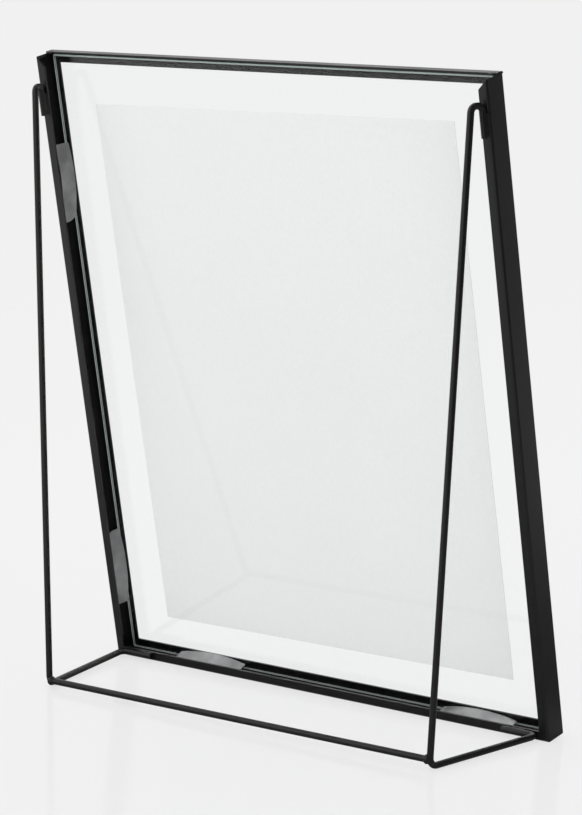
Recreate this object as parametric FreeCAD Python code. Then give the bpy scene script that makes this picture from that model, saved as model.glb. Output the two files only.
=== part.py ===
"""Free-standing metal photo frame: four folded steel rails hold two clear panes with a
print floating between them. Six bowed spring strips press the panes against the front
lips. Two bent wires and a cross bar, welded on the back, let it stand leaning back.

Millimetres. +Z up, the front of the frame faces -Y, the stand is on +Y. The origin is
the middle of the base: on the floor, half way between the sides and between the front
of the bottom rail and the back of the welds at the feet.
"""
import FreeCAD
import Part
import math
import os

from FreeCAD import Vector

# Frame
frame_width = 253.6
frame_height = 297.5
frame_depth = 12.4
lean_angle = 9.8
sheet = 1.0
front_lip = 4.7
rear_lip = 4.6
top_web_depth = 5.5
top_rail_rise = 0.9
bend_radius = 1.2
corner_weld_leg = 1.1

# Panes and print
pane_thickness = 1.0
pane_side_gap = 1.6
pane_top_gap = 0.9
pane_seat_gap = 0.1
pane_corner_radius = 1.2
print_side_margin = 22.6
print_end_margin = 20.75
print_thickness = 0.25
print_gap = 0.05
print_shift = 1.0
print_drop = 0.5
print_turn = 0.58

# Spring strips
side_spring_length = 37.8
bottom_spring_length = 40.2
spring_thickness = 0.4
spring_bow = 2.2
spring_clearance = 0.25
spring_cut_radius = 4.5
spring_corner_radius = 0.7
upper_spring_drop = 60.9
lower_spring_rise = 44.1
right_spring_inset = 54.4
left_spring_inset = 42.4
upper_spring_reach = 1.6
lower_spring_reach = 1.6
right_spring_reach = 2.0
left_spring_reach = 1.2
upper_spring_tilt = 2.8
lower_spring_tilt = 0.8

# Wire stand
wire_radius = 1.5
wire_seat_gap = 0.05
foot_inset = 16.3
foot_setback = 65.9
foot_bend_radius = 4.0
left_hook_drop = 10.8
right_hook_drop = 13.4
left_hook_inset = 1.4
right_hook_inset = 1.9
hook_leg_length = 13.7
hook_flat = 0.2
hook_bend_radius = 2.7
front_bend_inset = 5.2
front_bend_radius = 3.0
front_leg_length = 18.4
front_leg_drop = 1.4
left_bar_rise = 3.2
right_bar_rise = 1.6
weld_leg = 2.1
weld_height = 1.6
weld_end_inset = 1.0
weld_edge_gap = 0.1
foot_weld_leg = 0.8

# Overrun of every cutter past what it cuts
overrun = 2.0

# Sides, and what differs between them
left = -1
right = 1
hook_drops = {left: left_hook_drop, right: right_hook_drop}
hook_insets = {left: left_hook_inset, right: right_hook_inset}
bar_rises = {left: left_bar_rise, right: right_bar_rise}


def cosine():
    return math.cos(math.radians(lean_angle))


def sine():
    return math.sin(math.radians(lean_angle))


# The lower rear edge is rounded, so the square corner that the frame is measured from
# lies this much below the floor
edge_relief = bend_radius * (cosine() + sine() - 1)


def on_frame(x, y, z):
    """A point of the upright frame, carried to its place on the leaning frame."""
    height = z * cosine() - y * sine() - edge_relief
    return Vector(x, y * cosine() + z * sine(), height)


def leaned(shape):
    """A shape of the upright frame, carried to its place on the leaning frame."""
    placed = shape.copy()
    placed.rotate(Vector(0, 0, 0), Vector(1, 0, 0), -lean_angle)
    placed.translate(Vector(0, 0, -edge_relief))
    return placed


# Outlines and paths


def corner_arc(before, corner, after, radius):
    """The arc of one rounded corner, with the points where it starts and ends."""
    to_before = (before - corner).normalize()
    to_after = (after - corner).normalize()
    half_angle = to_before.getAngle(to_after) / 2
    tangent = radius / math.tan(half_angle)
    start = corner + to_before * tangent
    end = corner + to_after * tangent
    bisector = (to_before + to_after).normalize()
    middle = corner + bisector * (radius / math.sin(half_angle) - radius)
    return Part.Arc(start, middle, end).toShape(), start, end


def rounded_path(corners, closed=False):
    """Straight runs through (point, radius) corners, joined by tangent arcs."""
    count = len(corners)
    edges = []
    starts = []
    ends = []
    arcs = []
    for index, (point, radius) in enumerate(corners):
        if radius == 0 or (not closed and index in (0, count - 1)):
            starts.append(point)
            ends.append(point)
            arcs.append(None)
        else:
            before = corners[index - 1][0]
            after = corners[(index + 1) % count][0]
            arc, start, end = corner_arc(before, point, after, radius)
            starts.append(start)
            ends.append(end)
            arcs.append(arc)
    runs = count if closed else count - 1
    for index in range(runs):
        if arcs[index]:
            edges.append(arcs[index])
        edges.append(Part.LineSegment(ends[index], starts[(index + 1) % count]).toShape())
    return Part.Wire(edges)


def prism(corners, travel):
    """A solid with a closed outline of (point, radius) corners, pushed along a vector."""
    return Part.Face(rounded_path(corners, closed=True)).extrude(travel)


def flat_corners(pairs, level):
    """Sharp corners in a plane across Y, from pairs of X and Z."""
    return [(Vector(x, level, z), 0) for x, z in pairs]


# Rails, each built along X with its web down, its outer rear edge on the X axis


def channel_outline():
    """Section of the side and bottom rails: a web between a front and a rear lip."""
    return [
        (Vector(0, 0, rear_lip), 0),
        (Vector(0, 0, 0), bend_radius),
        (Vector(0, -frame_depth, 0), bend_radius),
        (Vector(0, -frame_depth, front_lip), 0),
        (Vector(0, sheet - frame_depth, front_lip), 0),
        (Vector(0, sheet - frame_depth, sheet), 0),
        (Vector(0, -sheet, sheet), 0),
        (Vector(0, -sheet, rear_lip), 0),
    ]


def angle_outline():
    """Section of the top rail: a front lip and a shallow web, open at the back."""
    web_back = top_web_depth - frame_depth
    lip = front_lip + top_rail_rise
    return [
        (Vector(0, web_back, 0), 0),
        (Vector(0, -frame_depth, 0), bend_radius),
        (Vector(0, -frame_depth, lip), 0),
        (Vector(0, sheet - frame_depth, lip), 0),
        (Vector(0, sheet - frame_depth, sheet), 0),
        (Vector(0, web_back, sheet), 0),
    ]


def mitred_rail(outline, length, shoulder):
    """A rail with both ends square up to the shoulder, then cut at 45 degrees."""
    half = length / 2
    bar = prism(outline, Vector(length + 2 * overrun, 0, 0))
    bar.translate(Vector(-half - overrun, 0, 0))
    height = max(front_lip, rear_lip) + overrun
    top = shoulder + height
    profile = [
        (-half, -overrun), (half, -overrun), (half, shoulder),
        (half - height, top), (height - half, top), (-half, shoulder)]
    keep = prism(flat_corners(profile, overrun), Vector(0, -frame_depth - 2 * overrun, 0))
    return bar.common(keep)


def seat_bottom(shape):
    """From a rail's own axes to the bottom side of the upright frame."""
    return shape.copy()


def seat_top(shape):
    placed = shape.copy()
    placed.rotate(Vector(0, 0, 0), Vector(0, 1, 0), 180)
    placed.translate(Vector(0, 0, frame_height + top_rail_rise))
    return placed


def seat_left(shape):
    placed = shape.copy()
    placed.rotate(Vector(0, 0, 0), Vector(0, 1, 0), 90)
    placed.translate(Vector(-frame_width / 2, 0, frame_height / 2))
    return placed


def seat_right(shape):
    placed = shape.copy()
    placed.rotate(Vector(0, 0, 0), Vector(0, 1, 0), -90)
    placed.translate(Vector(frame_width / 2, 0, frame_height / 2))
    return placed


def make_rails():
    side = mitred_rail(channel_outline(), frame_height, 0)
    bottom = mitred_rail(channel_outline(), frame_width, 0)
    top = mitred_rail(angle_outline(), frame_width, top_rail_rise)
    return {
        "left_rail": leaned(seat_left(side)),
        "right_rail": leaned(seat_right(side)),
        "bottom_rail": leaned(seat_bottom(bottom)),
        "top_rail": leaned(seat_top(top)),
    }


def make_corner_welds():
    """Small beads inside the four corners, along the webs, behind the front lips."""
    outer = frame_width / 2
    inner = outer - sheet
    low = sheet
    high = frame_height + top_rail_rise - sheet
    mitre = min(outer, inner + top_rail_rise)
    lower = [(inner, low), (inner - corner_weld_leg, low), (inner, low + corner_weld_leg)]
    upper = [
        (mitre, high), (inner - corner_weld_leg, high),
        (inner, high - corner_weld_leg), (inner, frame_height - sheet)]
    beads = []
    for profile, depth in ((lower, frame_depth - sheet), (upper, top_web_depth)):
        for side in (left, right):
            corners = flat_corners([(side * x, z) for x, z in profile], sheet - frame_depth)
            beads.append(prism(corners, Vector(0, depth - sheet, 0)))
    return leaned(Part.Compound(beads))


# Panes and print, in the upright frame, stacked backwards from the front lips

pane_width = frame_width - 2 * sheet - 2 * pane_side_gap
pane_height = frame_height + top_rail_rise - 2 * sheet - pane_top_gap
front_pane_face = sheet + pane_seat_gap - frame_depth
print_face = front_pane_face + pane_thickness + print_gap
rear_pane_face = print_face + print_thickness + print_gap
pack_back = rear_pane_face + pane_thickness
print_width = pane_width - 2 * print_side_margin
print_height = pane_height - 2 * print_end_margin


def pane(front_y):
    """A clear pane that stands on the bottom rail's web, its front face at front_y."""
    half = pane_width / 2
    top = sheet + pane_height
    outline = [(-half, sheet), (half, sheet), (half, top), (-half, top)]
    corners = [(Vector(x, front_y, z), pane_corner_radius) for x, z in outline]
    return leaned(prism(corners, Vector(0, pane_thickness, 0)))


def photo_print():
    """The print between the panes, set by hand and so turned a little."""
    paper = Part.makeBox(print_width, print_thickness, print_height)
    paper.translate(Vector(-print_width / 2, print_face, -print_height / 2))
    paper.rotate(Vector(0, 0, 0), Vector(0, 1, 0), print_turn)
    paper.translate(Vector(-print_shift, 0, sheet + pane_height / 2 - print_drop))
    return leaned(paper)


# Spring strips, built on a rail's own axes: X along the rail, Z away from its outer face

spring_rear_y = -sheet - spring_clearance
spring_front_y = pack_back + spring_clearance


def bowed_outline(level, length, foot):
    """Section of a bowed strip across Y: two arcs side by side, ends near the web."""
    half = length / 2
    inner = foot + spring_thickness
    outer_arc = Part.Arc(
        Vector(-half, level, foot),
        Vector(0, level, foot + spring_bow),
        Vector(half, level, foot))
    inner_arc = Part.Arc(
        Vector(half, level, inner),
        Vector(0, level, inner + spring_bow),
        Vector(-half, level, inner))
    return Part.Wire([
        outer_arc.toShape(),
        Part.LineSegment(Vector(half, level, foot), Vector(half, level, inner)).toShape(),
        inner_arc.toShape(),
        Part.LineSegment(Vector(-half, level, inner), Vector(-half, level, foot)).toShape(),
    ])


def strip_plan(length, turned):
    """Plan of a strip, seen across its thickness: one corner is cut very round."""
    half = length / 2
    small = spring_corner_radius
    radii = [spring_cut_radius, small, small, small]
    if turned:
        radii = [small, small, spring_cut_radius, small]
    return [
        (Vector(-half, spring_rear_y, 0), radii[0]),
        (Vector(half, spring_rear_y, 0), radii[1]),
        (Vector(half, spring_front_y, 0), radii[2]),
        (Vector(-half, spring_front_y, 0), radii[3]),
    ]


def spring_strip(length, reach, turned):
    """A strip on edge between the rear lip and the rear pane, leaning inwards by reach."""
    foot = sheet + spring_clearance
    outline = bowed_outline(spring_rear_y, length, foot)
    strip = Part.Face(outline).extrude(Vector(0, spring_front_y - spring_rear_y, reach))
    height = foot + spring_bow + spring_thickness + reach + overrun
    return strip.common(prism(strip_plan(length, turned), Vector(0, 0, height)))


def tilted(strip, tilt):
    """The strip turned in the plane of the frame about its end on the +X side."""
    pivot = Vector(side_spring_length / 2, 0, sheet + spring_clearance)
    strip.rotate(pivot, Vector(0, 1, 0), tilt)
    return strip


def mirrored(shape):
    return shape.mirror(Vector(0, 0, 0), Vector(1, 0, 0))


def make_springs():
    """Strips of the left and bottom rails, then those of the right rail as their mirrors."""
    half = frame_width / 2
    upper = spring_strip(side_spring_length, upper_spring_reach, True)
    upper = tilted(upper, upper_spring_tilt)
    upper.translate(Vector(upper_spring_drop - frame_height / 2, 0, 0))
    lower = spring_strip(side_spring_length, lower_spring_reach, False)
    lower = tilted(lower, lower_spring_tilt)
    lower.translate(Vector(frame_height / 2 - lower_spring_rise, 0, 0))
    bottom_left = spring_strip(bottom_spring_length, left_spring_reach, False)
    bottom_left.translate(Vector(left_spring_inset - half, 0, 0))
    bottom_right = mirrored(
        spring_strip(bottom_spring_length, right_spring_reach, False))
    bottom_right.translate(Vector(half - right_spring_inset, 0, 0))
    return {
        "spring_left_upper": leaned(seat_left(upper)),
        "spring_left_lower": leaned(seat_left(lower)),
        "spring_right_upper": leaned(seat_right(mirrored(upper))),
        "spring_right_lower": leaned(seat_right(mirrored(lower))),
        "spring_bottom_left": leaned(seat_bottom(bottom_left)),
        "spring_bottom_right": leaned(seat_bottom(bottom_right)),
    }


# Wire stand


def tube_along(path):
    """A round wire along a path of straight runs and tangent arcs."""
    first = path.Edges[0]
    start = first.valueAt(first.FirstParameter)
    direction = first.tangentAt(first.FirstParameter)
    ring = Part.Wire(Part.makeCircle(wire_radius, start, direction))
    return path.makePipeShell([ring], True, True)


def stand_corners(side, foot_height):
    """Corners of one side wire: hook tip, hook, foot, front bend and front leg end."""
    half = frame_width / 2
    off_face = wire_radius + wire_seat_gap
    lip_middle = side * (half - rear_lip / 2)
    hook_height = frame_height - hook_drops[side]
    hook_front = on_frame(lip_middle, off_face, hook_height)
    hook_back = hook_front + Vector(
        -side * hook_insets[side], 2 * hook_bend_radius + hook_flat, 0)
    foot = Vector(side * (half - foot_inset), foot_setback, foot_height)
    bend_x = half - front_bend_inset
    leg_height = rear_lip - front_leg_drop
    return [
        (on_frame(lip_middle, off_face, hook_height - hook_leg_length), 0),
        (hook_front, hook_bend_radius),
        (hook_back, hook_bend_radius),
        (foot, foot_bend_radius),
        (on_frame(side * bend_x, off_face, leg_height), front_bend_radius),
        (on_frame(side * (bend_x - front_leg_length), off_face, leg_height), 0),
    ]


def settled_path(side):
    """Centre line of a side wire, so low that the outside of its foot bend is at zero."""
    lowest = rounded_path(stand_corners(side, wire_radius)).BoundBox.ZMin
    return rounded_path(stand_corners(side, 2 * wire_radius - lowest))


def bar_end(side):
    """Where the middle of the cross bar meets the long leg of this side's wire."""
    corners = stand_corners(side, wire_radius)
    hook = corners[2][0]
    foot = corners[3][0]
    share = bar_rises[side] / (hook.z - foot.z)
    x = foot.x + (hook.x - foot.x) * share
    return Vector(x, foot_setback, wire_radius + bar_rises[side])


def make_cross_bar(wires):
    """The bar across the feet, its ends shaped to the two wires that it is welded to."""
    span = bar_end(right) - bar_end(left)
    inset = Vector(span).normalize() * (wire_radius / 2)
    length = span.Length - wire_radius
    bar = Part.makeCylinder(wire_radius, length, bar_end(left) + inset, span)
    for wire in wires:
        bar = bar.cut(wire)
    return bar


def make_foot_welds(wires, bar):
    """A blob of weld where each end of the cross bar meets its wire."""
    blobs = []
    for side in (left, right):
        middle = bar_end(side) - Vector(side * wire_radius, 0, 0)
        blob = Part.makeSphere(wire_radius + foot_weld_leg)
        blob.translate(middle)
        blob = blob.cut(bar)
        for wire in wires:
            blob = blob.cut(wire)
        blobs.append(max(blob.Solids, key=lambda solid: solid.Volume))
    return Part.Compound(blobs)


def weld_bead(start, end, below, above, outward, wire, rail):
    """A bead along a wire that lies on a rail, reaching out to both sides of it."""
    along = (end - start).normalize()
    first = start + along * weld_end_inset
    root = outward * (-bend_radius / 2)
    ridge = [
        first + below, first + below + root, first + above + root,
        first + above, first + outward * weld_height]
    corners = [(point, 0) for point in ridge]
    length = (end - start).Length - 2 * weld_end_inset
    bead = prism(corners, along * length).cut(rail).cut(wire)
    return max(bead.Solids, key=lambda solid: solid.Volume)


def make_hook_welds(wires, rails):
    """Beads that hold the short leg of each hook to the side rail's rear lip."""
    beads = []
    across = Vector(weld_leg, 0, 0)
    outward = on_frame(0, 1, 0) - on_frame(0, 0, 0)
    x = frame_width / 2 - rear_lip / 2
    for side, wire, rail in zip((left, right), wires, rails):
        tip = frame_height - hook_drops[side] - hook_leg_length
        low = on_frame(side * x, 0, tip)
        high = on_frame(side * x, 0, tip + hook_leg_length - hook_bend_radius)
        beads.append(weld_bead(low, high, -across, across, outward, wire, rail))
    return Part.Compound(beads)


def make_leg_welds(wires, rail):
    """Beads that hold each front leg to the bottom rail's rear lip."""
    beads = []
    upward = on_frame(0, 0, 1) - on_frame(0, 0, 0)
    outward = on_frame(0, 1, 0) - on_frame(0, 0, 0)
    above = upward * (front_leg_drop - weld_edge_gap)
    below = -upward * weld_leg
    bend_x = frame_width / 2 - front_bend_inset
    height = rear_lip - front_leg_drop
    for side, wire in zip((left, right), wires):
        start = on_frame(side * (bend_x - front_leg_length), 0, height)
        end = on_frame(side * (bend_x - 2 * front_bend_radius), 0, height)
        beads.append(weld_bead(start, end, below, above, outward, wire, rail))
    return Part.Compound(beads)


def make_stand(rails):
    wires = [tube_along(settled_path(side)) for side in (left, right)]
    bar = make_cross_bar(wires)
    return {
        "left_stand_wire": wires[0],
        "right_stand_wire": wires[1],
        "cross_bar": bar,
        "foot_welds": make_foot_welds(wires, bar),
        "hook_welds": make_hook_welds(wires, [rails["left_rail"], rails["right_rail"]]),
        "front_leg_welds": make_leg_welds(wires, rails["bottom_rail"]),
    }


def base_middle():
    """Half way from the bottom rail's rounded front edge to the back of the foot welds."""
    front_bend = on_frame(0, bend_radius - frame_depth, bend_radius)
    front = front_bend.y - bend_radius
    back = foot_setback + wire_radius + foot_weld_leg
    return (front + back) / 2


def main():
    nodes = make_rails()
    nodes["corner_welds"] = make_corner_welds()
    nodes["front_pane"] = pane(front_pane_face)
    nodes["photo_print"] = photo_print()
    nodes["rear_pane"] = pane(rear_pane_face)
    nodes.update(make_springs())
    nodes.update(make_stand(nodes))
    os.makedirs("parts", exist_ok=True)
    for name, shape in nodes.items():
        shape.translate(Vector(0, -base_middle(), 0))
        shape.exportStep("parts/" + name + ".step")
        print(name, len(shape.Solids), round(shape.Volume, 2), shape.isValid())


main()
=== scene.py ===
"""Black steel photo frame with a print between two clear panes, standing on bent wires.

Metres, +Z up. The front of the frame faces -Y and it leans back on the wire stand. Each
piece is modelled upright or on its rail's own axes and then carried to its place.
"""

import math
import random

import bmesh
import bpy
from mathutils import Matrix, Vector


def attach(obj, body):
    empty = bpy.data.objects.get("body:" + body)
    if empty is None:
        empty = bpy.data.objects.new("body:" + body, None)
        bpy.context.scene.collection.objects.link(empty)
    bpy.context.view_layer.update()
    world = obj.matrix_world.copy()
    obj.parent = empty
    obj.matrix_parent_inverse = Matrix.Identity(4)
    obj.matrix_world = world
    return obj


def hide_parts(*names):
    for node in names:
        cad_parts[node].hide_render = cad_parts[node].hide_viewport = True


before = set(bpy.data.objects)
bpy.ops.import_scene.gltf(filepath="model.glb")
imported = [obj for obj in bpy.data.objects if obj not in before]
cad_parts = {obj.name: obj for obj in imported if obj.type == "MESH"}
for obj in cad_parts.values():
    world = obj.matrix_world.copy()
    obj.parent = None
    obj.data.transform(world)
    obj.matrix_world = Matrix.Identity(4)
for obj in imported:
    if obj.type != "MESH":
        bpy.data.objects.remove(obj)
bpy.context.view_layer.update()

mm = 0.001
left = -1
right = 1

# Places closer together than this count as one
near = 0.05 * mm

# Frame
frame_width = 253.6 * mm
frame_height = 297.5 * mm
frame_depth = 12.4 * mm
lean_angle = math.radians(9.8)
sheet = 1.0 * mm
front_lip = 4.7 * mm
rear_lip = 4.6 * mm
top_web_depth = 4.9 * mm
top_rail_rise = 0.9 * mm
bend_radius = 1.2 * mm
rail_edge = 0.12 * mm

# Panes and print
pane_thickness = 1.0 * mm
pane_play = 1.6 * mm
pane_top_gap = 0.5 * mm
front_gap = 0.1 * mm
stack_gap = 0.05 * mm
pane_width = frame_width - 2 * (sheet + pane_play)
pane_height = frame_height + top_rail_rise - 2 * sheet - pane_top_gap
pane_corner_radius = 1.2 * mm
pane_edge = 0.15 * mm
# Height of the pale strip at a pane's top, a painted highlight
painted_highlight_strip = 0.8 * mm
front_pane_face = sheet + front_gap - frame_depth
print_face = front_pane_face + pane_thickness + stack_gap
print_thickness = 0.25 * mm
rear_pane_face = print_face + print_thickness + stack_gap
print_width = 203.2 * mm
print_height = 254 * mm
print_corner_radius = 0.35 * mm
print_edge = 0.03 * mm
print_turn = math.radians(0.58)
print_shift = 1.0 * mm
print_drop = 0.7 * mm

# Spring strips
side_spring_length = 37.8 * mm
bottom_spring_length = 40.2 * mm
spring_thickness = 0.4 * mm
spring_bow = 2.2 * mm
spring_clearance = 0.25 * mm
spring_rear = -sheet - spring_clearance
spring_front = rear_pane_face + pane_thickness + spring_clearance
spring_depth = spring_rear - spring_front
spring_foot = sheet + spring_clearance
spring_cut_radius = 4.5 * mm
spring_corner_radius = 0.7 * mm
spring_edge = 0.05 * mm
spring_steps = 28
upper_spring_drop = 60.9 * mm
upper_spring_tilt = math.radians(2.8)
lower_spring_rise = 44.1 * mm
lower_spring_tilt = math.radians(0.8)
side_spring_reach = 1.6 * mm
bottom_left_inset = 42.4 * mm
bottom_left_reach = 1.2 * mm
bottom_right_inset = 54.4 * mm
bottom_right_reach = 2.0 * mm

# Wire stand
wire_radius = 1.5 * mm
wire_gap = 0.05 * mm
wire_seat = wire_radius + wire_gap
wire_end_edge = 0.2 * mm
hook_drops = {left: 10.8 * mm, right: 13.4 * mm}
hook_insets = {left: 1.4 * mm, right: 1.9 * mm}
hook_reach = 5.6 * mm
hook_leg = 13.7 * mm
hook_bend = 2.7 * mm
foot_setback = 65.9 * mm
foot_inset = 16.3 * mm
foot_bend = 4.0 * mm
leg_inset = 5.2 * mm
leg_height = rear_lip - 1.4 * mm
leg_length = 18.4 * mm
leg_bend = 3.0 * mm
bar_rises = {left: 3.2 * mm, right: 1.6 * mm}
bar_end_inset = wire_radius / 2

# Welds: a run has its two sides, its height, its length and the length of a ripple
weld_root = 0.3 * mm
hook_run = (-2.1 * mm, 2.1 * mm, 1.7 * mm, 10.6 * mm, 0.9 * mm)
hook_run_start = 0.3 * mm
hook_seed = 3
leg_run = (-1.2 * mm, 2.0 * mm, 1.6 * mm, 11.2 * mm, 0.9 * mm)
leg_run_start = 0.6 * mm
leg_seed = 7
corner_run = (-0.9 * mm, 0.9 * mm, 0.85 * mm)
corner_run_gap = 0.15 * mm
corner_ripple = 0.8 * mm
corner_seed = 11
ripple_swell = 0.05
ripple_wobble = 0.04
run_end_swell = 0.86
corner_lump_radii = (2.3 * mm, 2.1 * mm, 0.75 * mm)
corner_lump_inset = 2.35 * mm
corner_lump_setback = 1.0 * mm
corner_lump_drop = 0.5 * mm
foot_lump_radii = (2.0 * mm, 2.2 * mm, 2.3 * mm)
foot_lump_overhang = 0.8 * mm
foot_lump_inset = 0.9 * wire_radius
lump_grain = 1.6 * mm
lump_unevenness = 0.16

# The upright frame is turned about its lower rear edge, lowered until the rounded edge
# meets the floor, and moved forward to the middle of the base
edge_relief = bend_radius * (math.cos(lean_angle) + math.sin(lean_angle) - 1)
base_front = -(frame_depth - bend_radius) * math.cos(lean_angle)
base_front += bend_radius * math.sin(lean_angle) - bend_radius
base_back = foot_setback + wire_radius + foot_lump_overhang
base_middle = (base_front + base_back) / 2
to_floor = Matrix.Translation((0, -base_middle, -edge_relief))
leaning = to_floor @ Matrix.Rotation(-lean_angle, 4, "X")

on_bottom = Matrix.Identity(4)
on_top = (Matrix.Translation((0, 0, frame_height + top_rail_rise))
          @ Matrix.Rotation(math.pi, 4, "Y"))
on_left = (Matrix.Translation((-frame_width / 2, 0, frame_height / 2))
           @ Matrix.Rotation(math.pi / 2, 4, "Y"))
on_right = (Matrix.Translation((frame_width / 2, 0, frame_height / 2))
            @ Matrix.Rotation(-math.pi / 2, 4, "Y"))
mirrored = Matrix.Diagonal((-1, 1, 1, 1))


# Hand work on one piece


def only(piece):
    bpy.ops.object.select_all(action="DESELECT")
    piece.select_set(True)
    bpy.context.view_layer.objects.active = piece


def named(piece, name):
    piece.name = name
    piece.data.name = name
    return piece


def block(name, low, high):
    """A block from its low corner to its high corner."""
    low, high = Vector(low), Vector(high)
    bpy.ops.object.select_all(action="DESELECT")
    bpy.ops.mesh.primitive_cube_add(size=1, location=(low + high) / 2, scale=high - low)
    piece = named(bpy.context.object, name)
    bpy.ops.object.transform_apply(location=True, rotation=True, scale=True)
    return piece


def pick(piece, kind, test):
    """In edit mode, selects the faces, edges or corners that pass the test."""
    bpy.ops.mesh.select_mode(type=kind)
    bpy.ops.mesh.select_all(action="DESELECT")
    mesh = bmesh.from_edit_mesh(piece.data)
    items = {"FACE": mesh.faces, "EDGE": mesh.edges, "VERT": mesh.verts}[kind]
    for item in items:
        if test(item):
            item.select_set(True)
    mesh.select_flush_mode()
    bmesh.update_edit_mesh(piece.data)


def along(edge, axis):
    """True if the edge runs along the axis, 0, 1 or 2."""
    run = edge.verts[1].co - edge.verts[0].co
    return abs(run[axis]) > 0.999 * run.length


def ends(edge):
    return [corner.co for corner in edge.verts]


def work(piece):
    only(piece)
    bpy.ops.object.mode_set(mode="EDIT")
    bpy.ops.mesh.select_mode(type="VERT")
    bpy.ops.mesh.select_all(action="SELECT")


def done():
    bpy.ops.object.mode_set(mode="OBJECT")


def finished_by(piece, kind, **settings):
    """Adds a modifier with these settings and applies it."""
    only(piece)
    modifier = piece.modifiers.new(kind.title(), kind)
    for key, value in settings.items():
        setattr(modifier, key, value)
    bpy.ops.object.modifier_apply(modifier=modifier.name)


def softened(piece, width, segments=2, angle=35, smooth=50):
    """Rounds every sharp edge a little and shades the roundings smooth, the flats flat."""
    finished_by(piece, "BEVEL", width=width, segments=segments, limit_method="ANGLE",
                angle_limit=math.radians(angle))
    shaded(piece, smooth)


def shaded(piece, smooth):
    only(piece)
    bpy.ops.object.shade_smooth_by_angle(angle=math.radians(smooth))
    finished_by(piece, "WEIGHTED_NORMAL", mode="FACE_AREA", weight=100, keep_sharp=True)


def carried(piece, place):
    """Puts the piece in its place, which stays in its mesh."""
    piece.data.transform(place)
    if place.determinant() < 0:
        piece.data.flip_normals()
    return piece


def fitted(piece, body, slot, finish, *nodes):
    """Gives a finished piece its material and its body, and hides the solids that it stands for.
    """
    piece.data.materials.clear()
    piece.data.materials.append(finish)
    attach(piece, body)
    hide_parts(*nodes)


def partly(piece, finish, faces):
    """Gives a second finish to the faces for which the list says so."""
    piece.data.materials.append(finish)
    for face, chosen in zip(piece.data.polygons, faces):
        face.material_index = int(chosen)


# Finishes


class Look:
    """Short ways to build the node tree of a material or a world."""

    def __init__(self, owner, shader="Principled BSDF", output="Material Output"):
        owner.use_nodes = True
        self.owner = owner
        self.tree = owner.node_tree
        self.shader = self.tree.nodes[shader]
        self.output = self.tree.nodes[output]

    def add(self, kind, **settings):
        node = self.tree.nodes.new(kind)
        for key, value in settings.items():
            if key in node.inputs:
                node.inputs[key].default_value = value
            else:
                setattr(node, key, value)
        return node

    def join(self, start, end):
        self.tree.links.new(start, end)

    def set(self, socket, value):
        """Sets what is the same all over the surface on the shader's own socket."""
        self.shader.inputs[socket].default_value = value

    def feed(self, value, socket):
        """Lets a value that changes over the surface into one of the shader's sockets."""
        self.join(value, self.shader.inputs[socket])

    def places(self):
        return self.add("ShaderNodeTexCoord").outputs["Object"]

    def stretched(self, scale):
        mapping = self.add("ShaderNodeMapping", Scale=scale)
        self.join(self.places(), mapping.inputs["Vector"])
        return mapping.outputs["Vector"]

    def noise(self, scale, detail, rough, vector=None):
        node = self.add("ShaderNodeTexNoise", Scale=scale, Detail=detail, Roughness=rough)
        self.join(vector or self.places(), node.inputs["Vector"])
        return node.outputs["Fac"]

    def ramp(self, value, *stops):
        node = self.add("ShaderNodeValToRGB")
        ramp = node.color_ramp
        while len(ramp.elements) < len(stops):
            ramp.elements.new(0.5)
        for element, (place, colour) in zip(ramp.elements, stops):
            element.position = place
            element.color = (*colour, 1)
        self.join(value, node.inputs["Fac"])
        return node.outputs["Color"]

    def range(self, value, low, high, start=0.3, end=0.7):
        """Takes a value that runs from start to end to one that runs from low to high."""
        node = self.add("ShaderNodeMapRange")
        for key, number in (("From Min", start), ("From Max", end),
                            ("To Min", low), ("To Max", high)):
            node.inputs[key].default_value = number
        self.join(value, node.inputs["Value"])
        return node.outputs["Result"]

    def larger(self, first, second):
        node = self.add("ShaderNodeMath", operation="MAXIMUM")
        self.join(first, node.inputs[0])
        self.join(second, node.inputs[1])
        return node.outputs["Value"]

    def bump(self, height, distance, strength, normal=None):
        node = self.add("ShaderNodeBump", Distance=distance, Strength=strength)
        self.join(height, node.inputs["Height"])
        if normal:
            self.join(normal, node.inputs["Normal"])
        return node.outputs["Normal"]

    def end_in(self, first, second, factor):
        """Ends the tree in a mix of two shaders, all of the second where the factor is 1."""
        mixed = self.add("ShaderNodeMixShader")
        self.join(factor, mixed.inputs["Fac"])
        self.join(first, mixed.inputs[1])
        self.join(second, mixed.inputs[2])
        self.join(mixed.outputs["Shader"], self.output.inputs["Surface"])


def new_look(name):
    return Look(bpy.data.materials.new(name))


def powder_coat():
    """Satin black powder coat: fine grain over a soft orange peel, a little uneven in gloss."""
    look = new_look("powder_coat_black")
    peel = look.noise(700, 2, 0.4)
    grain = look.noise(4200, 2, 0.5)
    patches = look.noise(45, 3, 0.5)
    tone = look.ramp(patches, (0.35, (0.0027, 0.0025, 0.0026)), (0.65, (0.0040, 0.0037, 0.0038)))
    look.feed(tone, "Base Color")
    look.feed(look.range(patches, 0.36, 0.45), "Roughness")
    coarse = look.bump(peel, 0.03 * mm, 0.35)
    look.feed(look.bump(grain, 0.008 * mm, 0.5, coarse), "Normal")
    look.set("Specular IOR Level", 0.42)
    return look.owner


def dull_coat_painted_shade():
    """A thinner, duller coat inside the folded channels; its low gloss is painted shade that
    darkens the hollows.
    """
    look = new_look("powder_coat_dull_painted_shade")
    dust = look.noise(120, 4, 0.6)
    grain = look.noise(2600, 3, 0.6)
    tone = look.ramp(dust, (0.35, (0.0024, 0.0022, 0.0023)), (0.7, (0.0042, 0.0039, 0.0040)))
    look.feed(tone, "Base Color")
    look.feed(look.range(dust, 0.52, 0.66), "Roughness")
    look.feed(look.bump(grain, 0.015 * mm, 0.6), "Normal")
    look.set("Specular IOR Level", 0.16)
    return look.owner


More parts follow.
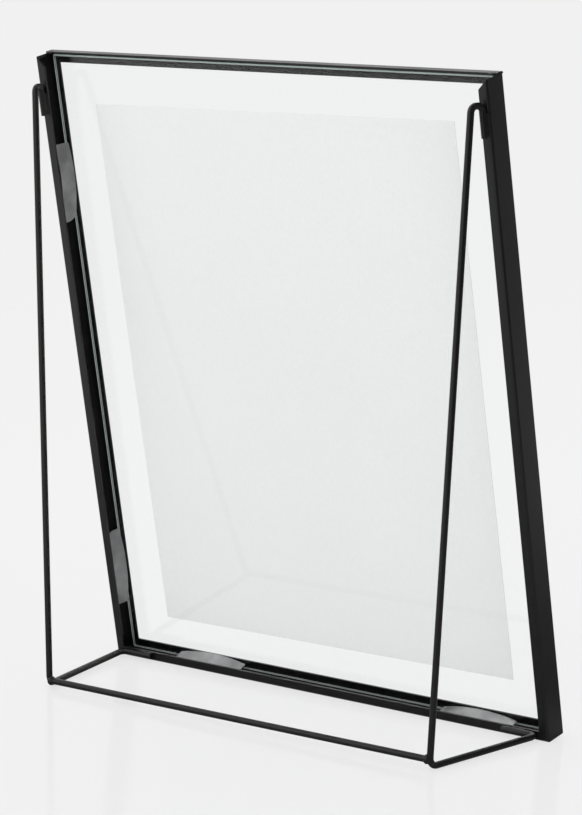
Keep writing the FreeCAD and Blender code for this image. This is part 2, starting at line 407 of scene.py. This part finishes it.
def let_lamps_through(look, tint):
    """Lamps and scattered light reach what is behind the glass; long paths turn green."""
    clear = look.add("ShaderNodeBsdfTransparent", Color=(*tint, 1))
    path = look.add("ShaderNodeLightPath").outputs
    look.end_in(look.shader.outputs["BSDF"], clear.outputs["BSDF"],
                look.larger(path["Is Shadow Ray"], path["Is Diffuse Ray"]))
    green = look.add("ShaderNodeVolumeAbsorption", Color=(0.45, 0.80, 0.68, 1), Density=10)
    look.join(green.outputs["Volume"], look.output.inputs["Volume"])


def clear_glass():
    """Clear float glass with the faintest haze in patches."""
    look = new_look("clear_glass")
    look.set("Base Color", (1, 1, 1, 1))
    look.set("IOR", 1.5)
    look.set("Specular Tint", (0.04, 0.04, 0.04, 1))
    look.set("Transmission Weight", 1.0)
    smears = look.noise(30, 3, 0.6)
    look.feed(look.range(smears, 0.0, 0.002, 0.5, 0.8), "Roughness")
    let_lamps_through(look, (0.985, 0.99, 0.987))
    return look.owner


def ground_glass_and_highlight():
    """The cut and ground edge of a pane: grey-green and frosted, kept pale; on the strip at a
    pane's top the pale finish is a painted highlight.
    """
    look = new_look("ground_glass_edge_and_highlight")
    marks = look.noise(900, 3, 0.6)
    tone = look.ramp(marks, (0.3, (0.56, 0.63, 0.60)), (0.7, (0.70, 0.76, 0.73)))
    look.feed(tone, "Base Color")
    look.feed(look.range(marks, 0.32, 0.5), "Roughness")
    look.set("IOR", 1.5)
    look.set("Transmission Weight", 0.4)
    look.feed(look.bump(marks, 0.02 * mm, 0.5), "Normal")
    let_lamps_through(look, (0.6, 0.7, 0.66))
    return look.owner


def print_paper():
    """The pale uncoated back of a photo print, faintly mottled."""
    look = new_look("print_paper")
    clouds = look.noise(9, 2, 0.5)
    fibres = look.noise(900, 4, 0.65, look.stretched((1, 1, 0.45)))
    base = look.ramp(clouds, (0.3, (0.868, 0.873, 0.867)), (0.7, (0.890, 0.895, 0.889)))
    speck = look.ramp(fibres, (0.3, (0.965, 0.965, 0.965)), (0.7, (1, 1, 1)))
    mixed = look.add("ShaderNodeMix", data_type="RGBA", blend_type="MULTIPLY")
    mixed.inputs[0].default_value = 1
    look.join(base, mixed.inputs[6])
    look.join(speck, mixed.inputs[7])
    look.feed(mixed.outputs[2], "Base Color")
    look.feed(look.range(fibres, 0.55, 0.68), "Roughness")
    look.feed(look.bump(fibres, 0.01 * mm, 0.25), "Normal")
    look.set("Specular IOR Level", 0.35)
    return look.owner


def spring_steel():
    """Bare rolled strip steel: fine marks along it, soft bands and a dull grey sheen."""
    look = new_look("spring_steel")
    bands = look.noise(75, 3, 0.55)
    marks = look.noise(600, 5, 0.6)
    tone = look.ramp(bands, (0.32, (0.20, 0.20, 0.205)), (0.5, (0.28, 0.28, 0.285)),
                     (0.68, (0.37, 0.37, 0.375)))
    look.feed(tone, "Base Color")
    look.feed(look.range(marks, 0.36, 0.52), "Roughness")
    look.set("Metallic", 1.0)
    look.feed(look.bump(marks, 0.006 * mm, 0.5), "Normal")
    return look.owner


black = powder_coat()
# Duller coat for the channels' hollows, a painted shade
dull_black_painted_shade = dull_coat_painted_shade()
glass = clear_glass()
ground_edge_and_highlight = ground_glass_and_highlight()
paper = print_paper()
steel = spring_steel()


# Rails


def bend(rail, depths):
    """Rounds the outer edges of the web at these depths, as the sheet bends there."""
    work(rail)
    pick(rail, "EDGE", lambda edge: along(edge, 0) and all(
        abs(end.z) < near and min(abs(end.y - depth) for depth in depths) < near
        for end in ends(edge)))
    bpy.ops.mesh.bevel(offset=bend_radius, segments=5, affect="EDGES")
    done()


def mitred(rail, length, shoulder):
    """Cuts both ends off at 45 degrees, from the shoulder upwards."""
    work(rail)
    for side in (left, right):
        bpy.ops.mesh.select_all(action="SELECT")
        bpy.ops.mesh.bisect(plane_co=(side * length / 2, 0, shoulder), plane_no=(side, 0, 1),
                            use_fill=True, clear_outer=True)
    done()


def channel_rail(name, length, place):
    """A folded channel: a web between a front and a rear lip, mitred at both ends."""
    half = length / 2
    rail = block(name + "_folded", (-half, -frame_depth, 0), (half, 0, front_lip))
    work(rail)
    pick(rail, "FACE", lambda face: face.normal.z > 0.9 or abs(face.normal.x) > 0.9)
    bpy.ops.mesh.delete(type="FACE")
    pick(rail, "VERT", lambda corner: corner.co.y > -sheet and corner.co.z > sheet)
    bpy.ops.transform.translate(value=(0, 0, rear_lip - front_lip))
    done()
    finished_by(rail, "SOLIDIFY", thickness=sheet, offset=-1, use_even_offset=True)
    bend(rail, (0, -frame_depth))
    mitred(rail, length, 0)
    softened(rail, rail_edge)
    coated(rail, name, place)


def coated(rail, name, place):
    """Carries a rail to its side of the frame; its hollow has the duller coat, which is painted
    shade.
    """
    front = sheet - frame_depth
    middles = [face.center for face in rail.data.polygons]
    # Faces in the channel's hollow, which get the duller coat as painted shade
    inside = [front < middle.y + near and middle.y < near - sheet and middle.z > sheet - near
              for middle in middles]
    carried(rail, leaning @ place)
    fitted(rail, "frame", "powder_coat_black", black, name)
    partly(rail, dull_black_painted_shade, inside)


def angle_rail(name, length, place):
    """The top rail: a front lip and a shallow web, open at the back."""
    half = length / 2
    back = top_web_depth - frame_depth
    rail = block(name + "_folded", (-half, -frame_depth, 0),
                 (half, back, front_lip + top_rail_rise))
    work(rail)
    pick(rail, "FACE", lambda face: abs(face.normal.x) > 0.9
         or face.normal.y > 0.9 or face.normal.z > 0.9)
    bpy.ops.mesh.delete(type="FACE")
    done()
    finished_by(rail, "SOLIDIFY", thickness=sheet, offset=-1, use_even_offset=True)
    bend(rail, (-frame_depth,))
    mitred(rail, length, top_rail_rise)
    softened(rail, rail_edge)
    carried(rail, leaning @ place)
    fitted(rail, "frame", "powder_coat_black", black, name)


def make_rails():
    channel_rail("left_rail", frame_height, on_left)
    channel_rail("right_rail", frame_height, on_right)
    channel_rail("bottom_rail", frame_width, on_bottom)
    angle_rail("top_rail", frame_width, on_top)


# Panes and print


def pane(name, front):
    """A pane with small corners. Its edges are ground, and the last strip at its top has the
    same pale frosted finish as a painted highlight.
    """
    half = pane_width / 2
    clear_part = pane_height - painted_highlight_strip
    plate = block(name + "_sheet", (-half, front, sheet),
                  (half, front + pane_thickness, sheet + pane_height))
    work(plate)
    pick(plate, "EDGE", lambda edge: along(edge, 1))
    bpy.ops.mesh.bevel(offset=pane_corner_radius, segments=6, affect="EDGES")
    done()
    softened(plate, pane_edge, segments=1, angle=60, smooth=20)
    work(plate)
    bpy.ops.mesh.bisect(plane_co=(0, 0, sheet + clear_part), plane_no=(0, 0, 1))
    done()
    # Ground edges, and the strip at the top as a painted highlight
    edges = [face.center.z > sheet + clear_part or abs(face.normal.y) < 0.99
             for face in plate.data.polygons]
    carried(plate, leaning)
    fitted(plate, "frame", "clear_glass", glass, name)
    partly(plate, ground_edge_and_highlight, edges)


def photo_print():
    half = Vector((print_width, 0, print_height)) / 2
    card = block("photo_print_card", (-half.x, print_face, -half.z),
                 (half.x, print_face + print_thickness, half.z))
    work(card)
    pick(card, "EDGE", lambda edge: along(edge, 1))
    bpy.ops.mesh.bevel(offset=print_corner_radius, segments=3, affect="EDGES")
    done()
    softened(card, print_edge, segments=1, angle=60, smooth=20)
    turned = Matrix.Rotation(print_turn, 4, "Y")
    lifted = Matrix.Translation((-print_shift, 0, sheet + pane_height / 2 - print_drop))
    carried(card, leaning @ lifted @ turned)
    fitted(card, "frame", "print_paper", paper, "photo_print")


# Spring strips, on their rail's own axes: X along the rail, Z away from its outer face


def spring_strip(name, length, turned):
    """A thin strip on edge, bowed between its two ends, one corner cut very round.
    Turned puts the round corner at the other end and on the other edge."""
    bow_radius = ((length / 2) ** 2 + spring_bow ** 2) / (2 * spring_bow)
    bow_angle = 2 * math.asin(length / 2 / bow_radius)
    flat = bow_radius * bow_angle
    bpy.ops.object.select_all(action="DESELECT")
    bpy.ops.mesh.primitive_plane_add(size=1, rotation=(math.pi / 2, 0, 0))
    strip = named(bpy.context.object, name)
    strip.scale = (flat, spring_depth, 1)
    bpy.ops.object.transform_apply(location=True, rotation=True, scale=True)
    work(strip)
    end = 1 if turned else -1
    pick(strip, "VERT", lambda corner: corner.co.x * end > 0 and corner.co.z * end < 0)
    bpy.ops.mesh.bevel(offset=spring_cut_radius, segments=8, affect="VERTICES")
    pick(strip, "VERT", lambda corner: abs(abs(corner.co.x) - flat / 2) < near
         and abs(abs(corner.co.z) - spring_depth / 2) < near)
    bpy.ops.mesh.bevel(offset=spring_corner_radius, segments=4, affect="VERTICES")
    for step in range(1, spring_steps):
        bpy.ops.mesh.select_all(action="SELECT")
        bpy.ops.mesh.bisect(plane_co=(flat * (step / spring_steps - 0.5), 0, 0),
                            plane_no=(1, 0, 0))
    done()
    finished_by(strip, "SIMPLE_DEFORM", deform_method="BEND", deform_axis="Z", angle=-bow_angle)
    finished_by(strip, "SOLIDIFY", thickness=spring_thickness, offset=0)
    softened(strip, spring_edge)
    return strip


def on_channel(reach):
    """From a strip's own middle to a rail's axes: lying on edge, leaning inwards by reach."""
    middle = spring_foot + spring_bow + (spring_thickness + reach) / 2
    return Matrix(((1, 0, 0, 0), (0, 0, 1, (spring_rear + spring_front) / 2),
                   (0, 1, -reach / spring_depth, middle), (0, 0, 0, 1)))


def tilted(tilt):
    """A turn in the plane of the frame about the strip's end on the +X side."""
    pivot = Vector((side_spring_length / 2, 0, spring_foot))
    turn = Matrix.Rotation(tilt, 4, "Y")
    return Matrix.Translation(pivot) @ turn @ Matrix.Translation(-pivot)


def shifted(distance):
    return Matrix.Translation((distance, 0, 0))


def make_springs():
    upper = shifted(upper_spring_drop - frame_height / 2) @ tilted(upper_spring_tilt)
    lower = shifted(frame_height / 2 - lower_spring_rise) @ tilted(lower_spring_tilt)
    for word, rail in (("left", on_left), ("right", on_right @ mirrored)):
        make_spring("spring_%s_upper" % word, side_spring_length, side_spring_reach, True,
                    rail @ upper)
        make_spring("spring_%s_lower" % word, side_spring_length, side_spring_reach, False,
                    rail @ lower)
    make_spring("spring_bottom_left", bottom_spring_length, bottom_left_reach, False,
                on_bottom @ shifted(bottom_left_inset - frame_width / 2))
    make_spring("spring_bottom_right", bottom_spring_length, bottom_right_reach, False,
                on_bottom @ shifted(frame_width / 2 - bottom_right_inset) @ mirrored)


def make_spring(name, length, reach, turned, place):
    strip = spring_strip(name + "_strip", length, turned)
    carried(strip, leaning @ place @ on_channel(reach))
    fitted(strip, name, "spring_steel", steel, name)


# Wire stand


def on_frame(x, y, z):
    return leaning @ Vector((x, y, z))


def stand_route(side, foot_height):
    """Corners of one side wire with their bend radii, from the hook's tip to the front leg."""
    half = frame_width / 2
    lip_middle = side * (half - rear_lip / 2)
    hook_height = frame_height - hook_drops[side]
    hook_front = on_frame(lip_middle, wire_seat, hook_height)
    hook_back = hook_front + Vector((-side * hook_insets[side], hook_reach, 0))
    foot = Vector((side * (half - foot_inset), foot_setback - base_middle, foot_height))
    return [
        (on_frame(lip_middle, wire_seat, hook_height - hook_leg), 0),
        (hook_front, hook_bend),
        (hook_back, hook_bend),
        (foot, foot_bend),
        (on_frame(side * (half - leg_inset), wire_seat, leg_height), leg_bend),
        (on_frame(side * (half - leg_inset - leg_length), wire_seat, leg_height), 0),
    ]


def bent_wire(name, route):
    """A round wire through the corners of a route, each bent to its radius."""
    bpy.ops.object.select_all(action="DESELECT")
    bpy.ops.mesh.primitive_plane_add(size=mm, location=route[0][0])
    wire = named(bpy.context.object, name)
    work(wire)
    bpy.ops.mesh.merge(type="CENTER")
    for (before, _), (point, _) in zip(route, route[1:]):
        bpy.ops.mesh.extrude_region_move(TRANSFORM_OT_translate={"value": point - before})
    done()
    bpy.ops.object.transform_apply(location=True, rotation=True, scale=True)
    work(wire)
    for index in range(1, len(route) - 1):
        point, radius = route[index]
        to_before = (route[index - 1][0] - point).normalized()
        to_after = (route[index + 1][0] - point).normalized()
        tangent = radius / math.tan(to_before.angle(to_after) / 2)
        pick(wire, "VERT", lambda corner: (corner.co - point).length < near)
        bpy.ops.mesh.bevel(offset=tangent, segments=10, affect="VERTICES")
    done()
    bpy.ops.object.convert(target="CURVE")
    wire = bpy.context.object
    wire.data.bevel_depth = wire_radius
    wire.data.bevel_resolution = 6
    wire.data.use_fill_caps = True
    bpy.ops.object.convert(target="MESH")
    return named(bpy.context.object, name)


def settled_route(side):
    """The wire's route, so low that the outside of its foot bend is on the floor."""
    route = stand_route(side, wire_radius)
    shape = bent_wire("trial_wire", route)
    lowest = min(corner.co.z for corner in shape.data.vertices)
    bpy.data.objects.remove(shape)
    return stand_route(side, wire_radius - lowest)


def make_stand():
    for side, word in ((left, "left"), (right, "right")):
        name = word + "_stand_wire"
        wire = bent_wire(name + "_bent", settled_route(side))
        softened(wire, wire_end_edge, angle=50)
        fitted(wire, "frame", "powder_coat_black", black, name)


def bar_end(side):
    """Where the middle of the cross bar meets the long leg of this side's wire."""
    route = stand_route(side, wire_radius)
    hook, foot = route[2][0], route[3][0]
    x = foot.x + (hook.x - foot.x) * bar_rises[side] / (hook.z - foot.z)
    return Vector((x, foot.y, wire_radius + bar_rises[side]))


def make_cross_bar():
    start, end = bar_end(left), bar_end(right)
    inset = (end - start).normalized() * bar_end_inset
    bar = bent_wire("cross_bar_round", [(start + inset, 0), (end - inset, 0)])
    shaded(bar, 50)
    fitted(bar, "frame", "powder_coat_black", black, "cross_bar")


# Welds


def run_of_weld(low, high, height, length, ripple, seed):
    """A rippled run of weld along Z, from low to high across X and out along Y."""
    bead = block("bead", (low, -weld_root, 0), (high, height, length))
    width = high - low
    work(bead)
    pick(bead, "EDGE", lambda edge: along(edge, 2) and all(end.y > 0 for end in ends(edge)))
    bpy.ops.mesh.bevel(offset=min(width * 0.42, height * 0.8), segments=4, affect="EDGES")
    count = max(3, round(length / ripple))
    for step in range(1, count):
        bpy.ops.mesh.select_all(action="SELECT")
        bpy.ops.mesh.bisect(plane_co=(0, 0, length * step / count), plane_no=(0, 0, 1))
    wobble = random.Random(seed)
    for step in range(count + 1):
        swell = 1.0 + (ripple_swell if step % 2 else -ripple_swell)
        swell += wobble.uniform(-ripple_wobble, ripple_wobble)
        if step in (0, count):
            swell = run_end_swell
        at = Vector(((low + high) / 2, -weld_root, length * step / count))
        pick(bead, "VERT", lambda corner: abs(corner.co.z - at.z) < ripple / 10)
        bpy.ops.transform.resize(value=(swell, swell, 1), center_override=at)
    done()
    finished_by(bead, "SUBSURF", levels=2, render_levels=2)
    only(bead)
    bpy.ops.object.shade_smooth()
    return bead


def axes(origin, across, out, along_run):
    """A place with these three directions as its X, Y and Z."""
    columns = [across.normalized(), out.normalized(), along_run.normalized()]
    turn = Matrix([[column[row] for column in columns] for row in range(3)]).to_4x4()
    return Matrix.Translation(origin) @ turn


def gathered(beads, name, node):
    """Joins the beads of one kind into one piece."""
    bpy.ops.object.select_all(action="DESELECT")
    for bead in beads:
        bead.select_set(True)
    bpy.context.view_layer.objects.active = beads[0]
    bpy.ops.object.join()
    fitted(named(bpy.context.object, name), "frame", "powder_coat_black", black, node)


def lump(radii):
    """A round, slightly uneven lump of weld."""
    bpy.ops.object.select_all(action="DESELECT")
    bpy.ops.mesh.primitive_uv_sphere_add(segments=32, ring_count=20, radius=1)
    blob = named(bpy.context.object, "lump")
    work(blob)
    bpy.ops.transform.resize(value=radii, center_override=(0, 0, 0))
    done()
    grain = bpy.data.textures.new("weld_lumps", "CLOUDS")
    grain.noise_scale = lump_grain
    finished_by(blob, "DISPLACE", texture=grain, strength=lump_unevenness * radii[0],
                mid_level=0.75, texture_coords="LOCAL")
    only(blob)
    bpy.ops.object.shade_smooth()
    return blob


def corner_lump(side):
    """Weld that rounds an upper corner, over the end of the top rail's web."""
    place = Vector((side * (frame_width / 2 - corner_lump_inset),
                    top_web_depth - frame_depth - corner_lump_setback,
                    frame_height + top_rail_rise - corner_lump_drop))
    return carried(lump(corner_lump_radii), leaning @ Matrix.Translation(place))


def make_wire_welds():
    """Beads between the rear lips and the wires' two ends on each side."""
    half = frame_width / 2
    lean = leaning.to_3x3()
    upward, outward = lean @ Vector((0, 0, 1)), lean @ Vector((0, 1, 0))
    sideways = Vector((1, 0, 0))
    hooks, legs = [], []
    for side in (left, right):
        tip = frame_height - hook_drops[side] - hook_leg
        start = on_frame(side * (half - rear_lip / 2), 0, tip + hook_run_start)
        bead = run_of_weld(*hook_run, hook_seed + side)
        hooks.append(carried(bead, axes(start, sideways, outward, upward)))
        start = on_frame(side * (half - leg_inset - leg_length + leg_run_start), 0, leg_height)
        bead = run_of_weld(*leg_run, leg_seed + side)
        legs.append(carried(bead, axes(start, -upward, outward, side * sideways)))
    gathered(hooks, "hook_weld_beads", "hook_welds")
    gathered(legs, "front_leg_weld_beads", "front_leg_welds")


def make_corner_welds():
    """A bead inside each corner, and a lump over each upper one."""
    lean = leaning.to_3x3()
    run = lean @ Vector((0, 1, 0))
    lower = (sheet, 1, frame_depth - 2 * sheet)
    upper = (frame_height + top_rail_rise - sheet, -1, top_web_depth - sheet)
    corners = []
    for side in (left, right):
        for height, away, depth in (lower, upper):
            start = on_frame(side * (frame_width / 2 - sheet),
                             sheet - frame_depth + corner_run_gap, height)
            out = lean @ Vector((-side, 0, away))
            bead = run_of_weld(*corner_run, depth - 2 * corner_run_gap, corner_ripple,
                               corner_seed + side)
            corners.append(carried(bead, axes(start, out.cross(run), out, run)))
        corners.append(corner_lump(side))
    gathered(corners, "corner_weld_beads", "corner_welds")


def make_foot_welds():
    blobs = []
    for side in (left, right):
        middle = bar_end(side) - Vector((side * foot_lump_inset, 0, 0))
        blobs.append(carried(lump(foot_lump_radii), Matrix.Translation(middle)))
    gathered(blobs, "foot_weld_blobs", "foot_welds")


make_rails()
pane("front_pane", front_pane_face)
photo_print()
pane("rear_pane", rear_pane_face)
make_springs()
make_stand()
make_cross_bar()
make_wire_welds()
make_corner_welds()
make_foot_welds()


# Floor, light and camera

backdrop = (0.88, 0.88, 0.88)
floor_size = 60
floor_least_even = 0.76
floor_evens_from = 0.5
floor_evens_to = 1.6
card_fades_from = 0.45
card_fades_to = 0.9
camera_place = (-0.86676, 1.06952, 0.38348)
camera_degrees = (79.9541, 0.2491, -141.1905)
camera_lens = 137.55

# Size, place, aim and power of each lamp
lamps = {
    "overhead_softbox": ((1.4, 1.4), (0.6, -0.8, 1.3), (0, 0, 0.1), 4.5),
    "back_softbox": ((1.2, 0.9), (0.5, 1.3, 0.9), (0, 0, 0.15), 3),
}

# Size, place, aim and tone of each dark card, and how near it starts to show
cards = {
    "side_card": ((0.9, 1.1), (-0.27, 0.38, 0.50), (0.75, 0.38, 0.16), 0.01, 0.28),
    "front_side_card": ((0.9, 1.1), (-0.27, -0.52, 0.50), (0.75, -0.52, 0.16), 0.08, 0.28),
    # The two floor cards are painted shade of the floor near the frame, seen only in reflections
    "floor_shade_card": ((0.7, 0.42), (0, 0.14, 0.0006), (0, 0.14, 1), 0.33, 0),
    "front_floor_shade_card": ((0.7, 0.3), (0, -0.22, 0.0006), (0, -0.22, 1), 0.14, 0),
}


def make_floor():
    """A white floor, softly glossy near the frame and even in the distance."""
    bpy.ops.object.select_all(action="DESELECT")
    bpy.ops.mesh.primitive_plane_add(size=floor_size)
    floor = named(bpy.context.object, "floor")
    look = new_look("white_floor")
    look.set("Base Color", (0.82, 0.82, 0.82, 1))
    look.set("Roughness", 0.1)
    look.set("Specular IOR Level", 0.28)
    away = look.add("ShaderNodeVectorMath", operation="LENGTH")
    look.join(look.places(), away.inputs[0])
    even = look.add("ShaderNodeEmission", Color=(*backdrop, 1), Strength=1)
    look.end_in(look.shader.outputs["BSDF"], even.outputs["Emission"],
                look.range(away.outputs["Value"], floor_least_even, 1,
                           floor_evens_from, floor_evens_to))
    floor.data.materials.append(look.owner)


def turned_to(aim, place, face):
    """How a lamp or card at this place is turned so that this side of it looks at its aim."""
    return (Vector(aim) - Vector(place)).to_track_quat(face, "Y").to_euler()


def soft_lamp(name, size, place, aim, power):
    bpy.ops.object.light_add(type="AREA", location=place)
    lamp = bpy.context.object
    lamp.name = name
    lamp.data.shape = "RECTANGLE"
    lamp.data.size, lamp.data.size_y = size
    lamp.data.energy = power
    lamp.rotation_euler = turned_to(aim, place, "-Z")


def dark_card(name, size, place, aim, tone, nearest):
    """A dark card, as a studio flag or as painted shade on the floor: only dull metal close by
    shows its face, not the glass.
    Reflections from nearer than nearest miss it too, so its foot isn't seen in the floor."""
    bpy.ops.object.select_all(action="DESELECT")
    bpy.ops.mesh.primitive_plane_add(size=1, location=place)
    card = named(bpy.context.object, name)
    card.rotation_euler = turned_to(aim, place, "Z")
    card.scale = (*size, 1)
    look = new_look(name)
    look.set("Base Color", (tone, tone, tone, 1))
    look.set("Specular IOR Level", 0)
    path = look.add("ShaderNodeLightPath").outputs
    back = look.add("ShaderNodeNewGeometry").outputs["Backfacing"]
    length = path["Ray Length"]
    unseen = look.larger(path["Is Singular Ray"], back)
    unseen = look.larger(unseen, look.range(length, 0, 1, card_fades_from, card_fades_to))
    if nearest:
        unseen = look.larger(unseen, look.range(length, 1, 0, nearest / 4, nearest))
    clear = look.add("ShaderNodeBsdfTransparent")
    look.end_in(look.shader.outputs["BSDF"], clear.outputs["BSDF"], unseen)
    card.data.materials.append(look.owner)
    card.visible_camera = False
    card.visible_diffuse = False
    card.visible_shadow = False
    card.visible_transmission = False


def make_world():
    """Soft white light from all around; the eye, metal and glass see the backdrop's tone."""
    world = bpy.data.worlds.new("studio")
    bpy.context.scene.world = world
    look = Look(world, "Background", "World Output")
    look.set("Color", (1, 1, 1, 1))
    look.set("Strength", 1.0)
    seen = look.add("ShaderNodeBackground", Color=(*backdrop, 1), Strength=1.0)
    path = look.add("ShaderNodeLightPath").outputs
    direct = look.larger(path["Is Camera Ray"], path["Is Glossy Ray"])
    look.end_in(look.shader.outputs["Background"], seen.outputs["Background"],
                look.larger(direct, path["Is Transmission Ray"]))


def make_camera():
    bpy.ops.object.camera_add(location=camera_place)
    camera = bpy.context.object
    camera.rotation_euler = [math.radians(angle) for angle in camera_degrees]
    camera.data.sensor_fit = "AUTO"
    camera.data.sensor_width = 36
    camera.data.lens = camera_lens
    camera.data.clip_start = 0.05
    camera.data.clip_end = 100
    bpy.context.scene.camera = camera


make_floor()
make_world()
for name, settings in cards.items():
    dark_card(name, *settings)
for name, settings in lamps.items():
    soft_lamp(name, *settings)
make_camera()
bpy.context.scene.view_settings.view_transform = "Standard"
